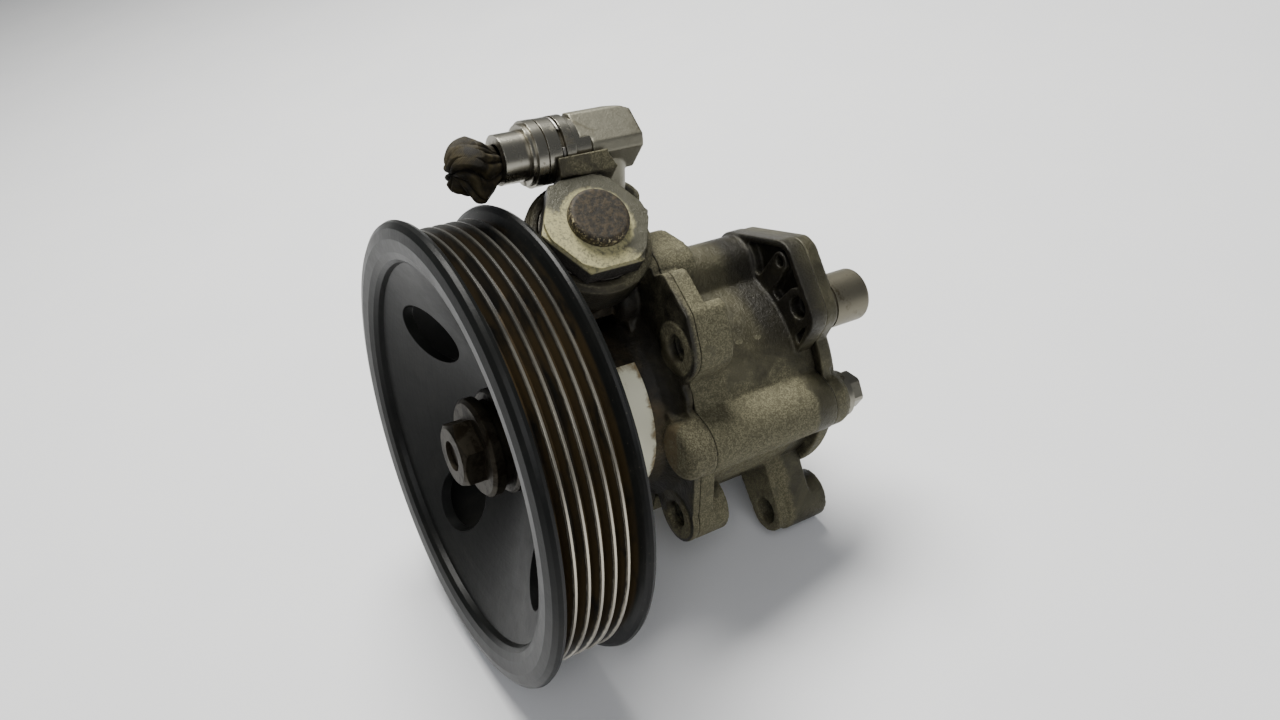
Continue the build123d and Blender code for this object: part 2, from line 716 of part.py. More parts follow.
def outlet_nipple():
    """A turned nipple with stop rings, a clip groove and a root pressed into the elbow."""
    steps = [
        (NIPPLE_RADIUS, NIPPLE_FRONT, 21.4),
        (8.0, 21.2, 22.4),
        (8.8, 22.4, 25.2),
        (8.2, 25.2, 25.6),
        (8.7, 25.6, 29.2),
        (7.5, 29.2, 30.6),
        (8.8, 30.6, 33.2),
        (7.8, 33.2, BLOCK_FRONT - CLEARANCE),
        (NIPPLE_ROOT, BLOCK_FRONT - 1, 40.95),
    ]
    bar = nipple_bar(*steps[0])
    for radius, start, end in steps[1:]:
        bar += nipple_bar(radius, start - CLEARANCE, end)
    tongue = nipple_bar(7.8, BLOCK_FRONT - 0.5, 42) & elbow_notch(2 * CLEARANCE)
    return bar + tongue - nipple_bar(NIPPLE_BORE, 10, 45)


def nipple_clip():
    """A wire snap ring in the nipple's groove, open on one side."""
    x, z = nipple_axis()
    clip = Pos(x, 29.9, z) * Rot(90, 0, 0) * Torus(8.15, 0.6)
    return clip - Pos(x + 7, 29.9, z + 5) * Box(6, 4, 4)


def elbow_seal_ring():
    return Pos(*STEM, 53.2) * Torus(STEM_RADIUS - 0.62, 0.64)


def rag_stopper():
    """A wad of cloth stuffed into the nipple, as a plain closed solid."""
    x, z = nipple_axis()
    wad = Pos(x, 7.2, z - 1.2) * scale(Sphere(1), by=(9.4, 6.9, 8.8))
    return wad + nipple_bar(NIPPLE_BORE - 0.35, 10, 20)


# ---------------------------------------------------------------- all nodes
NODES = {
    "pulley": pulley,
    "pulley_hub": pulley_hub,
    "bolt_washer": bolt_washer,
    "pulley_bolt": pulley_bolt,
    "drive_shaft": drive_shaft,
    "bearing_inner_race": bearing_inner_race,
    "bearing_outer_race": bearing_outer_race,
    "bearing_balls": bearing_balls,
    "bearing_cage": bearing_cage,
    "bearing_snap_ring": bearing_snap_ring,
    "shaft_seal": shaft_seal,
    "front_housing": front_housing,
    "label": label,
    "pump_body": pump_body,
    "front_pressure_plate": front_pressure_plate,
    "cam_ring": cam_ring,
    "rotor": rotor,
    "rear_pressure_plate": rear_pressure_plate,
    "dowel_pins": dowel_pins,
    "plate_spring": plate_spring,
    "body_seal_ring": body_seal_ring,
    "cover_seal_ring": cover_seal_ring,
    "rear_cover": rear_cover,
    "suction_stub": suction_stub,
    "cover_bolts": cover_bolts,
    "valve_plug": valve_plug,
    "plug_seal_ring": plug_seal_ring,
    "control_spool": control_spool,
    "relief_seat": relief_seat,
    "relief_ball": relief_ball,
    "relief_spring": relief_spring,
    "spool_spring": spool_spring,
    "outlet_elbow": outlet_elbow,
    "outlet_nipple": outlet_nipple,
    "nipple_clip": nipple_clip,
    "elbow_seal_ring": elbow_seal_ring,
    "rag_stopper": rag_stopper,
}


os.makedirs("parts", exist_ok=True)
for name, make in NODES.items():
    export_step(make(), f"parts/{name}.step")
for number, angle in enumerate(vane_angles(), start=1):
    export_step(vane(angle), f"parts/vane_{number:02d}.step")
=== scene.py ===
"""The looks of a power steering pump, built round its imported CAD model. Metres, in the CAD model's frame."""

import math

import bmesh
import bpy
from mathutils import Matrix, Vector, noise


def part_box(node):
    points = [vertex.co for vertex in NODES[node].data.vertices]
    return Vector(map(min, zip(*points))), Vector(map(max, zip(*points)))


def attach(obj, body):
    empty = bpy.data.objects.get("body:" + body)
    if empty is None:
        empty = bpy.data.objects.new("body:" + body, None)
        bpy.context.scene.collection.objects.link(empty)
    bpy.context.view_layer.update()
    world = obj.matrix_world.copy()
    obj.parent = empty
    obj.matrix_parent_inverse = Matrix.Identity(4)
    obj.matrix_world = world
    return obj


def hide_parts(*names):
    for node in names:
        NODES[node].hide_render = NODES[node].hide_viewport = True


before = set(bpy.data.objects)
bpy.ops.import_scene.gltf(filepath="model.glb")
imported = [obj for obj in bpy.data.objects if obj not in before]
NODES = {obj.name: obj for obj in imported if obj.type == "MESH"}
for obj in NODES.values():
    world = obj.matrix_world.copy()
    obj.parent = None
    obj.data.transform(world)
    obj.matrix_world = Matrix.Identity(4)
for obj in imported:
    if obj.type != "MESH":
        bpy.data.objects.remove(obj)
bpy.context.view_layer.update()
MM = 0.001
FORWARD = Vector((0, -1, 0))  # from the pump body towards the pulley

# ---------------------------------------------------------------- how far sharp CAD edges are rounded
CASTING_VOXEL = 0.4 * MM
CASTING_SMOOTHING = 4
ELBOW_VOXEL = 0.3 * MM
ELBOW_SMOOTHING = 9

# ---------------------------------------------------------------- places read off the CAD model
VALVE_ANGLE = math.radians(54)
VALVE_OUT = Vector((math.cos(VALVE_ANGLE), 0, math.sin(VALVE_ANGLE)))
VALVE_UP = Vector((-math.sin(VALVE_ANGLE), 0, math.cos(VALVE_ANGLE)))
VALVE_FACE = Vector((6.3, 31.4, 61.5)) * MM
PLUG_BOSS = 8.1 * MM
UPPER_EAR = (24.0 * MM, 28.4 * MM)
LOWER_EAR = (26.2 * MM, -26.2 * MM)
EAR_RING = (7.2 * MM, 7.9 * MM)
SIDE_BOLT = (33.4 * MM, 2.0 * MM)
NIPPLE_LOW, NIPPLE_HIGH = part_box("outlet_nipple")
NIPPLE_X = (NIPPLE_LOW.x + NIPPLE_HIGH.x) / 2
NIPPLE_TIP = NIPPLE_LOW.y


# ---------------------------------------------------------------- shader helpers
class Shader:
    """A Principled material, built a node at a time in the object's own coordinates."""

    def __init__(self, name, roughness=0.5, metallic=0.0):
        self.material = bpy.data.materials.new(name)
        self.material.use_nodes = True
        self.tree = self.material.node_tree
        self.surface = self.tree.nodes["Principled BSDF"]
        self.surface.inputs["Roughness"].default_value = roughness
        self.surface.inputs["Metallic"].default_value = metallic
        self.place = self.add("ShaderNodeTexCoord").outputs["Object"]
        self.split = self.add("ShaderNodeSeparateXYZ", Vector=self.place)

    def add(self, kind, **inputs):
        """A node with its inputs set to numbers, colours or other nodes' outputs."""
        made = self.tree.nodes.new(kind)
        for key, value in inputs.items():
            self.feed(made.inputs[key.replace("_", " ")], value)
        return made

    def feed(self, socket, value):
        """Links an output into a socket, or sets the socket to a number or colour."""
        if isinstance(value, bpy.types.NodeSocket):
            self.tree.links.new(value, socket)
        elif hasattr(value, "__len__") and socket.type == "RGBA":
            socket.default_value = (*value[:3], 1)
        else:
            socket.default_value = value

    def axis(self, letter):
        return self.split.outputs[letter]

    def math(self, operation, a, b=0.0, c=0.0):
        made = self.tree.nodes.new("ShaderNodeMath")
        made.operation = operation
        for socket, value in zip(made.inputs, (a, b, c)):
            self.feed(socket, value)
        return made.outputs[0]

    def clouds(self, size, detail=4.0, rough=0.55, warp=0.0, place=None):
        """Soft noise from 0 to 1 whose blobs are about size across."""
        made = self.add("ShaderNodeTexNoise", Vector=place or self.place, Scale=1 / size, Detail=detail)
        made.inputs["Roughness"].default_value = rough
        made.inputs["Distortion"].default_value = warp
        return made.outputs["Fac"]

    def stretched(self, x, y, z):
        """The object's coordinates scaled along each axis."""
        made = self.add("ShaderNodeMapping", Vector=self.place)
        made.inputs["Scale"].default_value = (x, y, z)
        return made.outputs["Vector"]

    def fade(self, value, low, high):
        """0 below low and 1 above high, smoothly; low may be the larger."""
        made = self.tree.nodes.new("ShaderNodeMapRange")
        made.interpolation_type = "SMOOTHSTEP"
        flip = low > high
        start, end = (high, low) if flip else (low, high)
        numbers = (value, start, end, 1.0 if flip else 0.0, 0.0 if flip else 1.0)
        for key, number in zip(("Value", "From Min", "From Max", "To Min", "To Max"), numbers):
            self.feed(made.inputs[key], number)
        return made.outputs["Result"]

    def inside(self, value, low, high, soft):
        """1 between low and high, falling to 0 over soft on each side."""
        rise = self.fade(value, low - soft, low)
        fall = self.fade(value, high + soft, high)
        return self.math("MULTIPLY", rise, fall)

    def mix(self, amount, under, over):
        made = self.tree.nodes.new("ShaderNodeMix")
        made.data_type = "RGBA"
        for index, value in ((0, amount), (6, under), (7, over)):
            self.feed(made.inputs[index], value)
        return made.outputs[2]

    def blend(self, amount, under, over):
        """A number mixed between two others."""
        made = self.tree.nodes.new("ShaderNodeMix")
        for index, value in ((0, amount), (2, under), (3, over)):
            self.feed(made.inputs[index], value)
        return made.outputs[0]

    def reach(self, x=0.0, z=0.0):
        """Distance from an axis along Y that passes through x and z."""
        across = self.math("SUBTRACT", self.axis("X"), x)
        up = self.math("SUBTRACT", self.axis("Z"), z)
        square = self.math("ADD", self.math("MULTIPLY", across, across), self.math("MULTIPLY", up, up))
        return self.math("SQRT", square)

    def edges(self, low=0.515, high=0.56):
        """1 on convex edges of a finely meshed piece."""
        return self.fade(self.add("ShaderNodeNewGeometry").outputs["Pointiness"], low, high)

    def facing(self, direction):
        """How far the surface faces a direction, from -1 to 1."""
        made = self.add("ShaderNodeVectorMath")
        made.operation = "DOT_PRODUCT"
        self.feed(made.inputs[0], self.add("ShaderNodeNewGeometry").outputs["Normal"])
        made.inputs[1].default_value = direction
        return made.outputs["Value"]

    def along(self, origin, direction):
        """Distance along a direction from an origin."""
        offset = self.add("ShaderNodeVectorMath", Vector=self.place)
        offset.operation = "SUBTRACT"
        offset.inputs[1].default_value = origin
        made = self.add("ShaderNodeVectorMath", Vector=offset.outputs[0])
        made.operation = "DOT_PRODUCT"
        made.inputs[1].default_value = direction
        return made.outputs["Value"]

    def crevice(self, distance, samples=6):
        """1 in the open and towards 0 in corners and holes."""
        made = self.add("ShaderNodeAmbientOcclusion", Distance=distance)
        made.samples = samples
        return made.outputs["AO"]

    def finish(self, color, rough, heights, rounding=0.0):
        """Joins colour, roughness and a list of (height, depth) bumps to the surface."""
        self.feed(self.surface.inputs["Base Color"], color)
        self.feed(self.surface.inputs["Roughness"], rough)
        normal = None
        if rounding:
            made = self.add("ShaderNodeBevel", Radius=rounding)
            made.samples = 4
            normal = made.outputs["Normal"]
        for height, depth in heights:
            bump = self.add("ShaderNodeBump", Height=height, Distance=depth)
            if normal:
                self.feed(bump.inputs["Normal"], normal)
            normal = bump.outputs["Normal"]
        if normal:
            self.feed(self.surface.inputs["Normal"], normal)
        return self.material


def dress(material, *names):
    """Gives a material to CAD nodes."""
    for name in names:
        data = NODES[name].data
        data.materials.clear()
        data.materials.append(material)


# ---------------------------------------------------------------- castings
def casting_material(name, dark, middle, light, dusty_zone, oil_and_shade_zone=None, tan_zone=None):
    """Sand-cast aluminium: a satin brown-grey skin, with speckled dust where the zone is near 1, and oil mixed
    with painted shade darkening its crevices.
    """
    s = Shader(name, metallic=0.35)
    s.surface.inputs["Specular IOR Level"].default_value = 0.4
    specks = s.fade(s.clouds(0.4 * MM, 4, 0.75), 0.44, 0.56)
    specks = s.math("MULTIPLY", specks, s.fade(s.clouds(1.3 * MM, 4, 0.7), 0.34, 0.56))
    patches = s.fade(s.clouds(15 * MM, 5, 0.62, 0.7), 0.34, 0.66)
    drift = s.math("ADD", s.clouds(7 * MM, 5, 0.7, 0.6), s.math("MULTIPLY", dusty_zone(s), 0.36))
    dusty = s.fade(drift, 0.54, 0.86)
    skin = s.mix(patches, dark, middle)
    film = s.mix(0.12, middle, light)
    dust = s.mix(specks, film, light)
    color = s.mix(dusty, skin, dust)
    worn = s.math("MULTIPLY", s.edges(), s.fade(s.clouds(2.5 * MM, 3, 0.6), 0.35, 0.6))
    color = s.mix(s.math("MULTIPLY", worn, 0.4), color, light)
    stains = s.fade(s.clouds(5 * MM, 5, 0.7, 1.0), 0.60, 0.74)
    color = s.mix(s.math("MULTIPLY", stains, 0.35), color, (0.024, 0.019, 0.012))
    if tan_zone:
        color = s.mix(tan_zone(s), color, (0.110, 0.080, 0.042))
    # painted shade: hollows found by ambient occlusion are darkened towards near black, patchily, together
    # with the oil-and-shade zone
    crevice_shade = s.fade(s.crevice(8 * MM), 0.86, 0.36)
    oil_and_shade = s.math("MULTIPLY", crevice_shade, s.fade(s.clouds(6 * MM, 4, 0.6, 0.8), 0.25, 0.6))
    if oil_and_shade_zone:
        oil_and_shade = s.math("MAXIMUM", oil_and_shade, oil_and_shade_zone(s))
    color = s.mix(oil_and_shade, color, (0.010, 0.0085, 0.006))
    rough = s.blend(oil_and_shade, s.blend(dusty, 0.44, 0.8), 0.40)
    heights = [
        (s.clouds(0.7 * MM, 5, 0.75), 0.24 * MM),
        (s.clouds(3.2 * MM, 4, 0.6), 0.35 * MM),
    ]
    return s.finish(color, rough, heights)


def casting_piece(node, voxel, passes, material):
    """A copy of a CAD casting or forging with its edges rounded, in a material of its own."""
    piece = bpy.data.objects.new(node + "_cast", NODES[node].data.copy())
    bpy.context.scene.collection.objects.link(piece)
    remesh = piece.modifiers.new("remesh", "REMESH")
    remesh.mode = "VOXEL"
    remesh.voxel_size = voxel
    smooth = piece.modifiers.new("smooth", "SMOOTH")
    smooth.factor = 0.5
    smooth.iterations = passes
    evaluated = piece.evaluated_get(bpy.context.evaluated_depsgraph_get())
    mesh = bpy.data.meshes.new_from_object(evaluated)
    piece.modifiers.clear()
    piece.data = mesh
    mesh.shade_smooth()
    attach(piece, "housing")
    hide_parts(node)
    mesh.materials.clear()
    mesh.materials.append(material)


def body_dust(s):
    """Dust lies on the front flange, the ears and the lower bolt rib; the upper barrel is wiped clean."""
    flange = s.fade(s.axis("Y"), 61 * MM, 55 * MM)
    rib = s.math("MULTIPLY", s.fade(s.axis("Z"), 20 * MM, 9 * MM), s.fade(s.axis("Y"), 84 * MM, 80 * MM))
    return s.math("MAXIMUM", flange, rib)


def front_dust(s):
    """Dust on the valve's right flank, on the ears and on the bolt boss that shows beside the pulley."""
    valve = s.math("MULTIPLY", s.fade(s.axis("Z"), 42 * MM, 47 * MM), s.fade(s.axis("Y"), 24 * MM, 42 * MM))
    boss = s.fade(s.reach(*SIDE_BOLT), 12 * MM, 8 * MM)
    ears = s.math("MULTIPLY", s.fade(s.axis("Y"), 42.5 * MM, 43.5 * MM), s.fade(s.reach(), 33 * MM, 37 * MM))
    return s.math("MAXIMUM", s.math("MAXIMUM", valve, ears), boss)


def cover_dust(s):
    return s.fade(s.axis("Z"), 30 * MM, -30 * MM)


def oily_recess_and_shade(s):
    """The oil-soaked recess in the upper rear corner of the body, and the valley in front of it, darkened
    partly as painted shade on faces turned forward, in the hollows and along the valley.
    """
    high = s.fade(s.axis("Z"), 16 * MM, 26 * MM)
    valley = s.inside(s.axis("Y"), 77 * MM, 82.9 * MM, 7 * MM)
    # painted shade: faces turned forward and the hollows of the recess are darkened along with the oil
    forward_face_shade = s.math("MULTIPLY", s.fade(s.facing(FORWARD), 0.35, 0.75),
                        s.inside(s.axis("Y"), 82 * MM, 87 * MM, 0.5 * MM))
    pocket_shade = s.math("MULTIPLY", s.fade(s.crevice(5 * MM), 0.72, 0.5), s.fade(s.axis("Y"), 81 * MM, 83 * MM))
    edge = s.fade(s.clouds(6 * MM, 4, 0.6, 0.5), 0.3, 0.55)
    wet_and_shade = s.math("MAXIMUM", s.math("MAXIMUM", forward_face_shade, pocket_shade), s.math("MULTIPLY", valley, 0.85))
    return s.math("MULTIPLY", s.math("MULTIPLY", wet_and_shade, high), s.blend(edge, 0.7, 1.0))


def oily_nose_and_shade(s):
    """Oil has run down from the valve between the nose and the flange, and stops at the ears' faces; the band
    under the valve, the corner and the faces turned forward are darkened partly as painted shade.
    """
    # partly painted shade: the band under the valve and the corner between nose and flange are darkened like
    # oil
    high = s.inside(s.axis("Z"), 14 * MM, 41 * MM, 7 * MM)
    behind = s.fade(s.axis("Y"), 46.2 * MM, 44.6 * MM)
    upper_ear = s.fade(s.reach(*UPPER_EAR), *EAR_RING)
    lower_ear = s.fade(s.reach(*LOWER_EAR), *EAR_RING)
    ears = s.math("MULTIPLY", upper_ear, lower_ear)
    # painted shade: faces turned forward are darkened
    forward_shade = s.fade(s.facing(FORWARD), 0.4, 0.8)
    forward_shade = s.math("MULTIPLY", forward_shade, s.fade(s.axis("Y"), 38 * MM, 41 * MM))
    corner = s.math("MULTIPLY", s.fade(s.reach(), 40 * MM, 33 * MM), s.fade(s.axis("Y"), 34 * MM, 39 * MM))
    wet_and_shade = s.math("MAXIMUM", high, s.math("MULTIPLY", corner, 0.45))
    wet_and_shade = s.math("MULTIPLY", s.math("MAXIMUM", s.math("MULTIPLY", wet_and_shade, behind), forward_shade), ears)
    boss = s.fade(s.reach(*SIDE_BOLT), 8.6 * MM, 10.5 * MM)
    patchy = s.fade(s.clouds(6 * MM, 4, 0.6, 0.5), 0.25, 0.6)
    return s.math("MULTIPLY", s.math("MULTIPLY", wet_and_shade, boss), s.blend(patchy, 0.5, 0.95))


def tan_nose(s):
    """A tan film of old oil on the nose beside the label."""
    nose = s.fade(s.reach(), 35 * MM, 33.5 * MM)
    nose = s.math("MULTIPLY", nose, s.inside(s.axis("Y"), 26 * MM, 38 * MM, 5 * MM))
    level = s.fade(s.axis("Z"), -30 * MM, 12 * MM)
    patchy = s.fade(s.clouds(4 * MM, 5, 0.65, 0.6), 0.30, 0.62)
    return s.math("MULTIPLY", s.math("MULTIPLY", nose, level), s.blend(patchy, 0.25, 0.9))


def dress_castings():
    olive_dark, olive, sand = (0.028, 0.025, 0.013), (0.066, 0.060, 0.034), (0.185, 0.172, 0.106)
    soot, smoke = (0.024, 0.020, 0.011), (0.058, 0.051, 0.029)
    castings = (
        ("front_housing", "front",
         casting_material("front_casting", soot, smoke, sand, front_dust, oily_nose_and_shade, tan_nose)),
        ("pump_body", "body",
         casting_material("body_casting", olive_dark, olive, sand, body_dust, oily_recess_and_shade)),
        ("rear_cover", "cover", casting_material("cover_casting", olive_dark, olive, sand, cover_dust)),
    )
    for node, word, material in castings:
        casting_piece(node, CASTING_VOXEL, CASTING_SMOOTHING, material)


# ---------------------------------------------------------------- pulley
def pulley_material():
    """Black paint that the belt has worn off the five rib crests, with brown oil in the grooves, shown
    strongest on the lit band as painted light.
    """
    s = Shader("pulley_paint")
    s.surface.inputs["Specular IOR Level"].default_value = 0.13
    radius = s.reach()
    belt = s.inside(s.axis("Y"), -10.3 * MM, 10.3 * MM, 0.3 * MM)
    ribs = s.inside(s.axis("Y"), -8.2 * MM, 8.2 * MM, 0.2 * MM)
    wobble = s.math("MULTIPLY", s.math("SUBTRACT", s.clouds(3 * MM, 4, 0.6), 0.5), 0.8 * MM)
    crest = s.math("MULTIPLY", s.fade(s.math("ADD", radius, wobble), 60.5 * MM, 61.05 * MM), ribs)
    scuffs = s.clouds(1.0, 5, 0.7, 0, s.stretched(60, 1500, 60))
    # the bare crests fade out towards the top of the pulley
    height = s.math("ADD", s.axis("Z"), s.math("MULTIPLY", s.clouds(12 * MM, 3, 0.5), 16 * MM))
    lower_arc = s.fade(height, 62 * MM, 38 * MM)
    bare = s.math("MULTIPLY", crest, s.blend(lower_arc, 0.06, 1.0))
    bare = s.math("MULTIPLY", bare, s.fade(scuffs, 0.22, 0.42))
    groove = s.math("MULTIPLY", s.fade(radius, 61 * MM, 59.6 * MM), s.fade(radius, 56.2 * MM, 57.6 * MM))
    groove = s.math("MULTIPLY", groove, belt)
    # painted light: the brown in the grooves shows fully only on the band that catches the light
    lit = s.inside(s.axis("Z"), -8 * MM, 40 * MM, 26 * MM)
    lit_brown_oil = s.math("MULTIPLY", s.math("MULTIPLY", groove, s.blend(lit, 0.25, 1.0)),
                   s.fade(s.clouds(1.0, 4, 0.6, 0.4, s.stretched(60, 400, 60)), 0.30, 0.60))
    dust = s.math("MULTIPLY", s.fade(s.clouds(16 * MM, 5, 0.65, 0.5), 0.45, 0.75), 0.3)
    nicks = s.fade(s.clouds(1.1 * MM, 3, 0.8), 0.66, 0.74)
    lip = s.fade(radius, 60.8 * MM, 61.4 * MM)
    chips = s.math("MULTIPLY", nicks, s.math("MULTIPLY", lip, s.fade(s.axis("Y"), -13 * MM, -12 * MM)))
    color = s.mix(dust, (0.0070, 0.0074, 0.0070), (0.024, 0.023, 0.019))
    color = s.mix(lit_brown_oil, color, (0.060, 0.042, 0.020))
    color = s.mix(bare, color, (0.44, 0.41, 0.34))
    color = s.mix(chips, color, (0.10, 0.088, 0.07))
    s.feed(s.surface.inputs["Metallic"], s.math("MAXIMUM", bare, s.math("MULTIPLY", lit_brown_oil, 0.5)))
    rough = s.blend(s.clouds(5 * MM, 5, 0.6), 0.27, 0.44)
    rough = s.blend(bare, rough, 0.30)
    rough = s.blend(lit_brown_oil, rough, 0.38)
    heights = [
        (scuffs, 0.04 * MM),
        (s.clouds(1.6 * MM, 4, 0.6), 0.03 * MM),
    ]
    return s.finish(color, rough, heights, 0.25 * MM)


# ---------------------------------------------------------------- steel pieces
def worn_steel(name, clean, stain_and_shade, stain_level, rough, lathe_axis=None, grain=0.3):
    """Bare steel with brown stains and painted shade in its corners; lathe_axis gives fine turning lines along
    X, Y or Z.
    """
    s = Shader(name, metallic=1.0)
    stains = s.clouds(5.5 * MM, 5, 0.65, 0.5)
    fine = s.clouds(0.9 * MM, 4, 0.7)
    darkened = s.fade(s.math("ADD", s.math("MULTIPLY", stains, 1 - grain), s.math("MULTIPLY", fine, grain)),
                   0.62 - stain_level, 0.78 - stain_level)
    # painted shade: corners found by ambient occlusion take the stain colour
    corner_shade = s.fade(s.crevice(2.5 * MM), 0.75, 0.3)
    darkened = s.math("MAXIMUM", darkened, corner_shade)
    color = s.mix(darkened, clean, stain_and_shade)
    roughness = s.blend(darkened, s.blend(fine, rough - 0.2 * grain, rough + 0.2 * grain), 0.6)
    heights = [(fine, 0.1 * grain * MM)]
    if lathe_axis:
        scale = {"X": (9000, 20, 20), "Y": (20, 9000, 20), "Z": (20, 20, 9000)}[lathe_axis]
        heights.append((s.clouds(1.0, 2, 0.5, 0, s.stretched(*scale)), 0.006 * MM))
    return s.finish(color, roughness, heights, 0.25 * MM)


def corroded_plug_material():
    """Yellow-passivated steel gone chalky on one side, with a rusty boss and flanks painted near black as
    painted shade.
    """
    s = Shader("plug_corrosion", metallic=0.3)
    height = s.along(VALVE_FACE, VALVE_OUT)
    right = s.along(VALVE_FACE, Vector((0, 1, 0)))
    up = s.along(VALVE_FACE, VALVE_UP)
    span = s.math("SQRT", s.math("ADD", s.math("MULTIPLY", right, right), s.math("MULTIPLY", up, up)))
    ragged = s.math("MULTIPLY", s.math("SUBTRACT", s.clouds(2.0 * MM, 5, 0.7), 0.5), 5 * MM)
    corner = s.math("ADD", s.math("MULTIPLY", right, 0.72), s.math("MULTIPLY", up, 0.69))
    side = s.fade(s.math("ADD", corner, ragged), -2.5 * MM, -5.5 * MM)
    collar = s.fade(s.math("ADD", span, s.math("MULTIPLY", ragged, 0.6)), 10.4 * MM, 9.2 * MM)
    grain = s.fade(s.clouds(0.8 * MM, 5, 0.75), 0.36, 0.56)
    chalk = s.math("MULTIPLY", s.math("MAXIMUM", side, collar), s.blend(grain, 0.25, 1.0))
    worn = s.mix(s.clouds(2 * MM, 5, 0.7), (0.040, 0.038, 0.025), (0.100, 0.095, 0.066))
    color = s.mix(chalk, worn, (0.38, 0.35, 0.185))
    scuffed = s.math("MULTIPLY", s.edges(0.505, 0.53), s.fade(s.clouds(1.5 * MM, 4, 0.7), 0.4, 0.6))
    color = s.mix(s.math("MULTIPLY", scuffed, 0.5), color, (0.32, 0.30, 0.22))
    boss = s.math("MULTIPLY", s.fade(span, PLUG_BOSS + 0.35 * MM, PLUG_BOSS - 0.05 * MM),
                  s.fade(height, -0.05 * MM, 0.15 * MM))
    blotches = s.fade(s.clouds(1.3 * MM, 5, 0.72), 0.40, 0.66)
    rust = s.mix(blotches, (0.010, 0.0075, 0.004), (0.048, 0.034, 0.016))
    crumbs = s.fade(s.clouds(0.9 * MM, 5, 0.8), 0.52, 0.64)
    rim = s.inside(height, 0.6 * MM, 2.6 * MM, 0.4 * MM)
    rim = s.math("MULTIPLY", s.math("MULTIPLY", rim, crumbs), s.fade(corner, 0.0, -3 * MM))
    rust = s.mix(rim, rust, (0.42, 0.36, 0.20))
    color = s.mix(boss, color, rust)
    # painted shade: the hex flanks below the face are painted near black
    flank_shade = s.fade(height, -1.3 * MM, -2.2 * MM)
    color = s.mix(flank_shade, color, (0.012, 0.010, 0.007))
    rough = s.blend(boss, s.blend(chalk, 0.42, 0.8), 0.66)
    heights = [(s.clouds(0.7 * MM, 5, 0.75), 0.14 * MM), (s.clouds(2.6 * MM, 4, 0.6), 0.18 * MM)]
    return s.finish(color, rough, heights, 0.4 * MM)


def paper_material():
    """A blank cream label, oil-stained along its edges."""
    s = Shader("label_paper")
    low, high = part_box("label")
    stain = s.clouds(5 * MM, 5, 0.65, 0.6)
    rear = s.fade(s.axis("Y"), high.y - 2.5 * MM, high.y)
    edge = s.math("MAXIMUM", rear, s.fade(s.axis("Z"), low.z + 5 * MM, low.z))
    edge = s.math("MAXIMUM", edge, s.fade(s.axis("Z"), high.z - 4 * MM, high.z))
    darkened = s.fade(s.math("ADD", stain, s.math("MULTIPLY", edge, 0.25)), 0.62, 0.88)
    color = s.mix(darkened, (0.80, 0.78, 0.60), (0.26, 0.20, 0.11))
    fibres = s.clouds(0.35 * MM, 4, 0.7)
    rough = s.blend(stain, 0.42, 0.6)
    return s.finish(color, rough, [(fibres, 0.02 * MM), (s.clouds(3 * MM, 2), 0.08 * MM)])


def rubber_material():
    s = Shader("seal_rubber")
    worn = s.clouds(2 * MM, 4, 0.6)
    color = s.mix(worn, (0.010, 0.010, 0.010), (0.032, 0.030, 0.028))
    return s.finish(color, s.blend(worn, 0.4, 0.62), [(s.clouds(0.5 * MM, 3), 0.02 * MM)])


def dress_steel():
    bolt = worn_steel("pulley_bolt_steel", (0.038, 0.033, 0.024), (0.015, 0.012, 0.008), 0.16, 0.55,
                      None, 0.15)
    dress(bolt, "pulley_bolt", "bolt_washer")
    hub = worn_steel("hub_steel", (0.06, 0.055, 0.048), (0.010, 0.008, 0.006), 0.16, 0.46, "Y")
    dress(hub, "pulley_hub", "drive_shaft")
    bright = worn_steel("machined_steel", (0.34, 0.325, 0.275), (0.10, 0.085, 0.055), 0.05, 0.26, "Y", 0.08)
    dress(bright, "outlet_nipple")
    stub = worn_steel("stub_steel", (0.17, 0.158, 0.120), (0.065, 0.056, 0.036), 0.10, 0.48, "Y")
    dress(stub, "suction_stub")
    zinc = worn_steel("bolt_zinc", (0.24, 0.23, 0.19), (0.07, 0.06, 0.04), 0.08, 0.40, None, 0.15)
    dress(zinc, "cover_bolts")
    wire = worn_steel("spring_wire", (0.22, 0.21, 0.19), (0.03, 0.025, 0.02), 0.05, 0.35)
    dress(wire, "nipple_clip", "bearing_snap_ring", "plate_spring", "relief_spring", "spool_spring",
          "plug_seal_ring")
    ground = worn_steel("ground_steel", (0.60, 0.60, 0.60), (0.30, 0.28, 0.25), -0.12, 0.16, "Y")
    vanes = [name for name in NODES if name.startswith("vane_")]
    dress(ground, "bearing_inner_race", "bearing_outer_race", "bearing_balls", "bearing_cage", "dowel_pins",
          "control_spool", "relief_ball", *vanes)
    sintered = worn_steel("sintered_iron", (0.34, 0.34, 0.34), (0.18, 0.17, 0.16), 0.0, 0.38)
    dress(sintered, "front_pressure_plate", "cam_ring", "rear_pressure_plate", "rotor", "relief_seat")


def elbow_material():
    """Machined and tumbled steel with a satin skin, darker towards the bottom, with painted shade in its
    corners.
    """
    s = Shader("elbow_steel", metallic=0.85)
    smear = s.clouds(8 * MM, 5, 0.6, 0.8)
    fine = s.clouds(0.6 * MM, 4, 0.7)
    # darker towards the bottom
    low = s.fade(s.axis("Z"), 70 * MM, 62 * MM)
    darkened = s.fade(s.math("ADD", smear, s.math("MULTIPLY", low, 0.12)), 0.52, 0.78)
    color = s.mix(darkened, (0.205, 0.196, 0.152), (0.085, 0.075, 0.048))
    # painted shade: corners found by ambient occlusion are darkened
    color = s.mix(s.fade(s.crevice(2.5 * MM), 0.6, 0.2), color, (0.05, 0.04, 0.03))
    rough = s.blend(fine, 0.38, 0.55)
    return s.finish(color, rough, [(fine, 0.05 * MM), (s.clouds(3 * MM, 3), 0.10 * MM)])


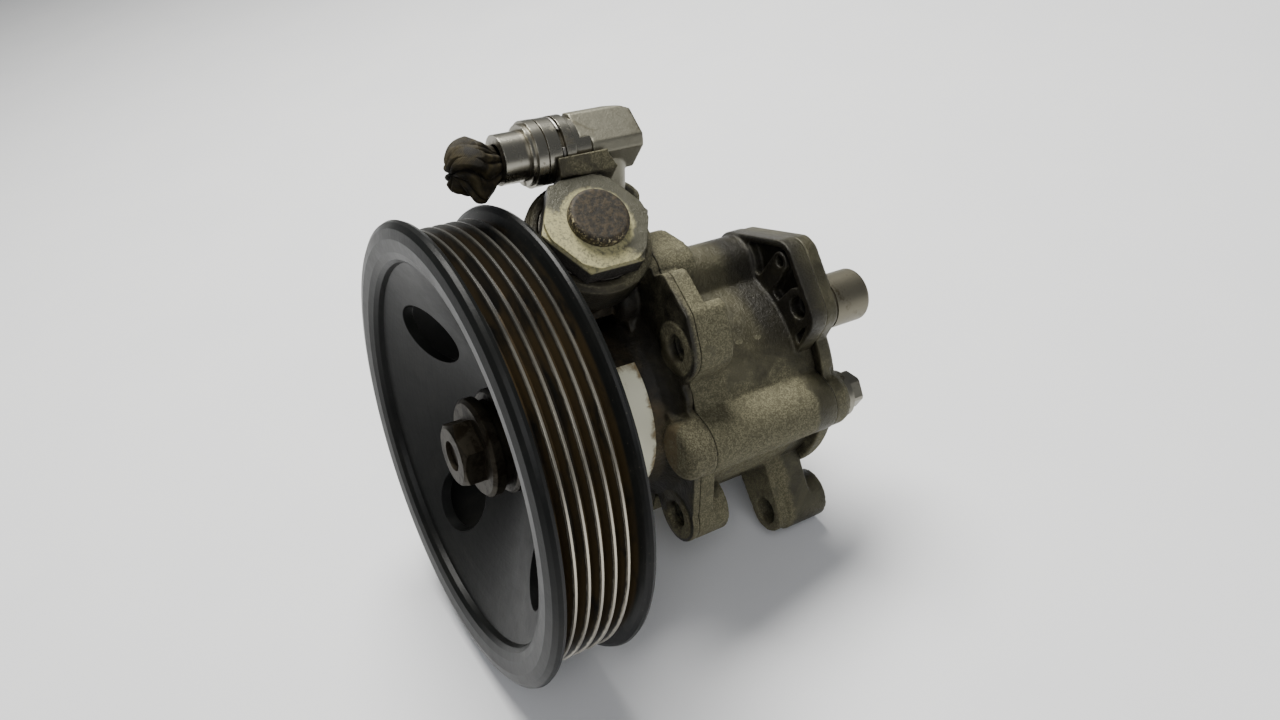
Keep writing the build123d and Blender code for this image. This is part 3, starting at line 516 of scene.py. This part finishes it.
# ---------------------------------------------------------------- cloth stopper
THREAD_PITCH = 0.45 * MM
RAG_SEED = 5  # without a seed the folds come out differently each run


def rag_material():
    """Oil-soaked woven cloth, with painted shade making it nearly black in its folds."""
    s = Shader("oily_rag")
    s.surface.inputs["Specular IOR Level"].default_value = 0.2
    soak = s.clouds(4 * MM, 4, 0.6, 0.5)
    weave = 2 * math.pi / THREAD_PITCH
    threads = s.math("MULTIPLY",
                     s.math("SINE", s.math("MULTIPLY", s.axis("Y"), weave)),
                     s.math("SINE", s.math("MULTIPLY", s.axis("Z"), weave)))
    color = s.mix(s.fade(soak, 0.35, 0.7), (0.008, 0.0062, 0.003), (0.042, 0.033, 0.015))
    # painted shade: folds found by ambient occlusion are darkened
    color = s.mix(s.fade(s.crevice(3 * MM), 0.75, 0.25), color, (0.006, 0.005, 0.004))
    rough = s.blend(soak, 0.5, 0.85)
    return s.finish(color, rough, [(threads, 0.03 * MM), (s.clouds(0.8 * MM, 4, 0.7), 0.10 * MM)])


def rag_piece():
    """A twist of cloth stuffed into the nipple: folds that run out of the hole and curl over its end."""
    low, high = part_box("rag_stopper")
    neck = NIPPLE_TIP + 0.9 * MM
    middle = Vector((NIPPLE_X, (low.y + neck) / 2, (low.z + high.z) / 2))
    radii = Vector(((high.x - low.x) / 2, (neck - low.y) / 2, (high.z - low.z) / 2))
    mesh = bpy.data.meshes.new("rag")
    noise.seed_set(RAG_SEED)
    grid = bmesh.new()
    bmesh.ops.create_icosphere(grid, subdivisions=7, radius=1)
    for vert in grid.verts:
        vert.co = rag_point(vert.co.copy(), radii)
    bmesh.ops.recalc_face_normals(grid, faces=grid.faces)
    grid.to_mesh(mesh)
    grid.free()
    mesh.transform(Matrix.Translation(middle))
    mesh.shade_smooth()
    mesh.materials.append(rag_material())
    piece = bpy.data.objects.new("rag", mesh)
    bpy.context.scene.collection.objects.link(piece)
    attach(piece, "housing")
    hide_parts("rag_stopper")


def rag_point(direction, radii):
    """One point of the wad: deep pleats fan out of the hole and twist as they go."""
    warp = noise.noise_vector(direction * 1.1) * 0.6
    turn = math.atan2(direction.z, direction.x) + 0.35 * direction.y + 0.6 * warp.x
    fold = abs(math.sin(turn * 2 + 0.9 * warp.z)) ** 0.6
    ripple = abs(math.sin(turn * 5 + 1.4 * warp.y)) ** 0.7
    lumps = noise.noise(direction * 1.3 + Vector((3.1, 0.4, 7.7)))
    size = 0.50 + 0.30 * fold + 0.20 * ripple + 0.26 * lumps
    blunt = max(0.0, direction.y)
    width = math.sqrt(max(1e-6, 1 - blunt ** 8)) / math.sqrt(max(1e-6, 1 - blunt ** 2))
    neck = 1 - 0.36 * min(1.0, max(0.0, (direction.y - 0.1) / 0.6))
    across = min(size, 1.0) * width * neck
    ahead = min(0.80 + 0.35 * lumps + 0.14 * ripple, 1.0) if direction.y < 0 else 1.0
    scale = (radii.x * across, radii.y * ahead, radii.z * across)
    return Vector([part * factor for part, factor in zip(direction, scale)])


# ---------------------------------------------------------------- camera, light and floor
CAMERA_PLACE = Vector((0.2117, -0.0833, 0.1607))
CAMERA_AZIMUTH = math.radians(58.19)
CAMERA_ELEVATION = math.radians(30.92)
CAMERA_LENS = 27.9


def add_camera():
    """Looks down on the pump from its front right."""
    data = bpy.data.cameras.new("camera")
    data.lens = CAMERA_LENS
    data.sensor_width = 36
    data.clip_start = 0.01
    camera = bpy.data.objects.new("camera", data)
    bpy.context.scene.collection.objects.link(camera)
    level = math.cos(CAMERA_ELEVATION)
    drop = math.sin(CAMERA_ELEVATION)
    ahead = Vector((-math.sin(CAMERA_AZIMUTH) * level, math.cos(CAMERA_AZIMUTH) * level, -drop))
    camera.location = CAMERA_PLACE
    camera.rotation_euler = ahead.to_track_quat("-Z", "Y").to_euler()
    bpy.context.scene.camera = camera


def add_light(name, place, size, power, color, target=Vector((0, 0.04, 0))):
    data = bpy.data.lights.new(name, "AREA")
    data.shape = "DISK"
    data.size = size
    data.energy = power
    data.color = color
    light = bpy.data.objects.new(name, data)
    bpy.context.scene.collection.objects.link(light)
    light.location = place
    light.rotation_euler = (target - Vector(place)).to_track_quat("-Z", "Y").to_euler()


def add_lights():
    add_light("window", (-0.4, 0.0, 0.95), 0.6, 26, (1.0, 0.99, 0.95))
    add_light("fill", (0.8, -0.4, 0.7), 0.9, 6, (0.97, 0.98, 1.0))
    world = bpy.data.worlds.new("room")
    bpy.context.scene.world = world
    world.use_nodes = True
    background = world.node_tree.nodes["Background"]
    background.inputs["Color"].default_value = (0.80, 0.82, 0.85, 1)
    background.inputs["Strength"].default_value = 0.19


def add_floor():
    """A pale sheet that the pump leans on, touching the pulley's rear flange and the rear lug."""
    rim_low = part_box("pulley")[0].z
    lug_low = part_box("pump_body")[0].z
    flange_y, flange_drop = 12.3 * MM, 1.1 * MM
    lug_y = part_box("pump_body")[1].y
    slope = (lug_low - rim_low - flange_drop) / (lug_y - flange_y)
    mesh = bpy.data.meshes.new("floor")
    grid = bmesh.new()
    bmesh.ops.create_grid(grid, x_segments=1, y_segments=1, size=4)
    for vert in grid.verts:
        vert.co.z = rim_low + flange_drop + slope * (vert.co.y - flange_y) - 0.1 * MM
    grid.to_mesh(mesh)
    grid.free()
    floor = bpy.data.objects.new("floor", mesh)
    bpy.context.scene.collection.objects.link(floor)
    s = Shader("floor_paper")
    tone = s.clouds(60 * MM, 3, 0.5)
    color = s.mix(tone, (0.70, 0.71, 0.73), (0.76, 0.76, 0.77))
    mesh.materials.append(s.finish(color, 0.65, [(s.clouds(40 * MM, 2, 0.4), 0.3 * MM)]))


# ---------------------------------------------------------------- the scene
dress_castings()
dress(pulley_material(), "pulley")
dress_steel()
casting_piece("outlet_elbow", ELBOW_VOXEL, ELBOW_SMOOTHING, elbow_material())
dress(corroded_plug_material(), "valve_plug")
dress(paper_material(), "label")
dress(rubber_material(), "shaft_seal", "body_seal_ring", "cover_seal_ring", "elbow_seal_ring")
rag_piece()
add_camera()
add_lights()
add_floor()
